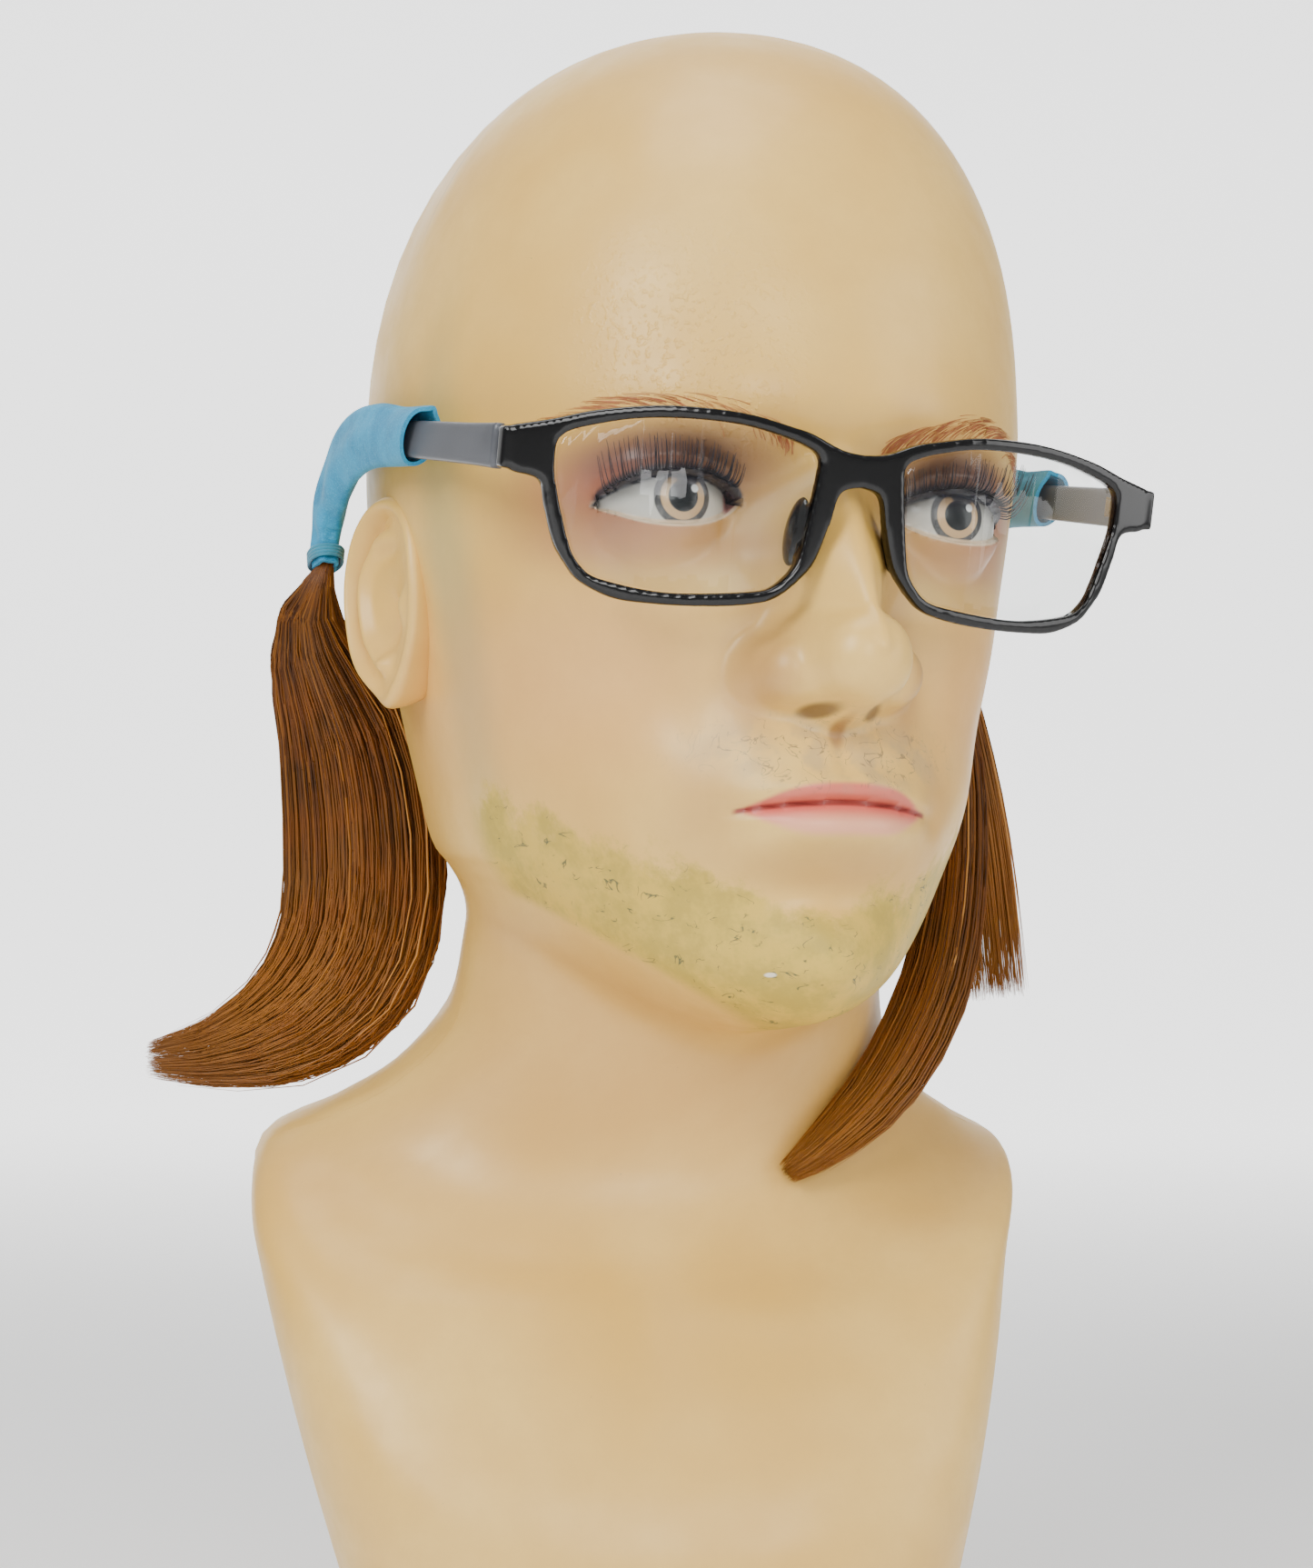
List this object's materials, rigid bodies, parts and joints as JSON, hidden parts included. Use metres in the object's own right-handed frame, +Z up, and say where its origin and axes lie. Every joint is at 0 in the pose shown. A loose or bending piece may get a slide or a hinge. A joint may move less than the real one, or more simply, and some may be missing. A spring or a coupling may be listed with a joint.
{
  "type": "mannequin training head",
  "caption": "Life-size mannequin bust on a clamp base, with painted face, reading glasses, and hair hanks on cloth sleeves slipped over the glasses' arms.",
  "frame": {"origin": "middle of the underside of the whole part's box, on the plane the feet stand on", "axes": "+Z up, the chest faces -Y, the bust's own left is +X; the head is turned towards its left"},
  "size_m": [0.2304, 0.2068, 0.4217],
  "materials": {
    "moulded_skin": "semi-gloss painted moulding, worn and stained",
    "glass_tape": "resin-soaked glass fibre tape",
    "lash": "fine dark fibre",
    "board": "sanded fibreboard",
    "rubber_foot": "matt moulded rubber",
    "gloss_frame": "polished black",
    "clear_lens": "clear, faint grey tint",
    "temple_finish": "satin dark grey",
    "sleeve_cloth": "soft brushed sky-blue cloth",
    "elastic": "thin elastic band",
    "hair": "straight chestnut fibre, satin",
    "steel": "plated"
  },
  "bodies": {
    "bust": {"face_shell": "moulded_skin", "rear_shell": "moulded_skin", "seam_tape": "glass_tape", "ear_right": "moulded_skin", "eyelash_right": "lash", "ear_left": "moulded_skin", "eyelash_left": "lash", "base_board": "board", "clamp_socket": "steel", "socket_screw_1": "steel", "socket_screw_2": "steel", "socket_screw_3": "steel", "socket_screw_4": "steel", "rim_screw_1": "steel", "rim_screw_2": "steel", "rim_screw_3": "steel", "rim_screw_4": "steel", "rim_screw_5": "steel", "rim_screw_6": "steel", "foot_1": "rubber_foot", "foot_2": "rubber_foot", "foot_3": "rubber_foot", "foot_4": "rubber_foot"},
    "spectacles": {"spectacle_front": "gloss_frame", "lens_right": "clear_lens", "lens_left": "clear_lens", "front_hinge_leaf_right": "steel", "front_hinge_leaf_left": "steel"},
    "temple_arm_right": {"temple_right": "temple_finish", "temple_hinge_leaf_right": "steel", "hinge_screw_right": "steel", "cloth_sleeve_right": "sleeve_cloth", "hair_binding_right": "elastic", "hair_hank_right": "hair"},
    "temple_arm_left": {"temple_left": "temple_finish", "temple_hinge_leaf_left": "steel", "hinge_screw_left": "steel", "cloth_sleeve_left": "sleeve_cloth", "hair_binding_left": "elastic", "hair_lock_left_rear": "hair", "hair_lock_left_front": "hair"}
  },
  "joints": [
    {"name": "glasses_lift", "type": "slide", "parent": "bust", "child": "spectacles", "axis": [0.1378, -0.4806, 0.866], "range_m": [0, 0.25], "deforming": ["hair_hank_right", "hair_lock_left_rear", "hair_lock_left_front"]},
    {"name": "temple_spread_right", "type": "hinge", "parent": "spectacles", "child": "temple_arm_right", "pos_m": [-0.02776, -0.09637, 0.30453], "axis": [0.067, -0.1525, 0.986], "range_deg": [0, 12], "stiffness_Nm_per_rad": 0.6},
    {"name": "temple_spread_left", "type": "hinge", "parent": "spectacles", "child": "temple_arm_left", "pos_m": [0.10871, -0.05724, 0.30131], "axis": [-0.067, 0.1525, -0.986], "range_deg": [0, 12], "stiffness_Nm_per_rad": 0.6}
  ]
}
